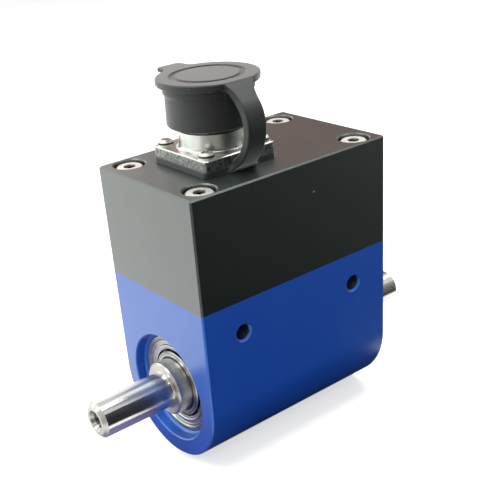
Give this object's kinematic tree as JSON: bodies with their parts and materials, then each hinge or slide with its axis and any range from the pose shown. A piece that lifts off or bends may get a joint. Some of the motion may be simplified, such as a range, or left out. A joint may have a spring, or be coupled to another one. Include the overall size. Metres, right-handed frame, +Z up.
{
  "type": "rotary torque sensor",
  "caption": "Inline shaft torque sensor: a blue and black metal block with a steel shaft through it on ball bearings, and a round socket under a tethered rubber cap.",
  "frame": {"origin": "on the shaft axis, at the shoulder where the drive-side shaft end meets its collar", "axes": "+X along the shaft to the output end, -Y the side with the cap's strap, +Z up to the socket"},
  "size_m": [0.1084, 0.04, 0.0996],
  "materials": {
    "blue_anodised": "blue anodised, satin",
    "black_anodised": "black anodised, matte",
    "ground_steel": "turned and ground",
    "bearing_steel": "polished",
    "plated_zinc": "nickel plated casting",
    "screw_steel": "plated",
    "black_rubber": "matte",
    "insert_plastic": "moulded",
    "contact_brass": "gold plated",
    "core_iron": "sintered",
    "coil_wire": "enamelled copper",
    "circuit_board": "solder mask",
    "chip_plastic": "moulded",
    "capacitor_can": "drawn",
    "header_plastic": "moulded",
    "lead_cover": "flexible",
    "gauge_film": "film"
  },
  "bodies": {
    "housing": {"lower_housing": "blue_anodised", "upper_housing": "black_anodised", "cover_screws": "screw_steel", "drive_bearing_outer_ring": "bearing_steel", "drive_bearing_shields": "bearing_steel", "output_bearing_outer_ring": "bearing_steel", "output_bearing_shields": "bearing_steel", "drive_stator_core": "core_iron", "drive_stator_coil": "coil_wire", "output_stator_core": "core_iron", "output_stator_coil": "coil_wire", "speed_pickup": "chip_plastic", "pickup_carrier": "circuit_board", "board_standoffs": "contact_brass", "signal_board": "circuit_board", "board_screws": "screw_steel", "board_chips": "chip_plastic", "board_capacitors": "capacitor_can", "lead_header": "header_plastic", "connector_leads": "lead_cover", "coil_leads": "lead_cover", "connector_body": "plated_zinc", "connector_insert": "insert_plastic", "connector_contacts": "contact_brass", "flange_screws": "screw_steel", "flange_gasket": "black_rubber", "cap_strap": "black_rubber"},
    "rotor": {"shaft": "ground_steel", "drive_bearing_inner_ring": "bearing_steel", "output_bearing_inner_ring": "bearing_steel", "drive_rotor_core": "core_iron", "drive_rotor_coil": "coil_wire", "output_rotor_core": "core_iron", "output_rotor_coil": "coil_wire", "strain_gauges": "gauge_film", "rotor_board": "circuit_board", "rotor_chips": "chip_plastic", "speed_wheel": "screw_steel"},
    "drive_cage": {"drive_bearing_balls": "bearing_steel", "drive_bearing_cage": "screw_steel"},
    "output_cage": {"output_bearing_balls": "bearing_steel", "output_bearing_cage": "screw_steel"},
    "cap": {"dust_cap": "black_rubber"}
  },
  "joints": [
    {"name": "shaft_spin", "type": "hinge", "parent": "housing", "child": "rotor", "pos_m": [0, 0, 0], "axis": [1, 0, 0], "continuous": true},
    {"name": "drive_cage_turn", "type": "hinge", "parent": "housing", "child": "drive_cage", "pos_m": [0, 0, 0], "axis": [1, 0, 0], "continuous": true},
    {"name": "output_cage_turn", "type": "hinge", "parent": "housing", "child": "output_cage", "pos_m": [0, 0, 0], "axis": [1, 0, 0], "continuous": true},
    {"name": "cap_pull", "type": "slide", "parent": "housing", "child": "cap", "axis": [0, 0, 1], "range_m": [0, 0.0105], "deforming": ["cap_strap"]}
  ],
  "couplings": [
    {"joint": "drive_cage_turn", "follows": "shaft_spin", "ratio": 0.4186},
    {"joint": "output_cage_turn", "follows": "shaft_spin", "ratio": 0.4186}
  ]
}
